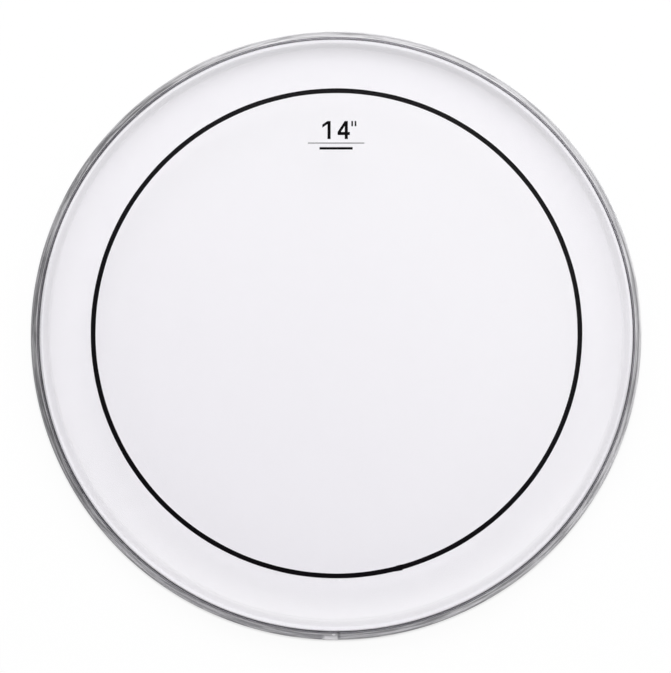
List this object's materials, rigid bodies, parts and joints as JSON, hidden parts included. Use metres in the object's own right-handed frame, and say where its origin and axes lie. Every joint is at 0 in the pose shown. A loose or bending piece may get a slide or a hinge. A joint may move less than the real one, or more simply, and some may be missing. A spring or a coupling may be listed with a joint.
{
  "type": "drum head",
  "caption": "Clear two-ply drum head: a film with a formed collar, a black ring stripe and edge damping, bonded with resin into an aluminium channel hoop.",
  "frame": {"origin": "on the hoop's axis, at the bottom of the hoop", "axes": "+Z is the hoop's axis, out of the playing face; +Y points to the size print and -Y to the hoop's butt joint"},
  "size_m": [0.3678, 0.3681, 0.0185],
  "materials": {
    "hoop_aluminium": "drawn, satin, with fine streaks along the bend",
    "key_aluminium": "sawn bar, satin",
    "clear_resin": "cast, glossy, slightly cloudy",
    "clear_film": "clear, glossy film",
    "damping_layer": "clear, laminated between the plies",
    "black_ink": "screen-printed ink, dense black"
  },
  "bodies": {
    "root": {"hoop_channel": "hoop_aluminium", "joint_key": "key_aluminium", "potting_resin": "clear_resin", "lower_ply": "clear_film", "damping_ring": "damping_layer", "stripe_ring": "black_ink", "upper_ply": "clear_film", "size_print": "black_ink"}
  },
  "joints": []
}
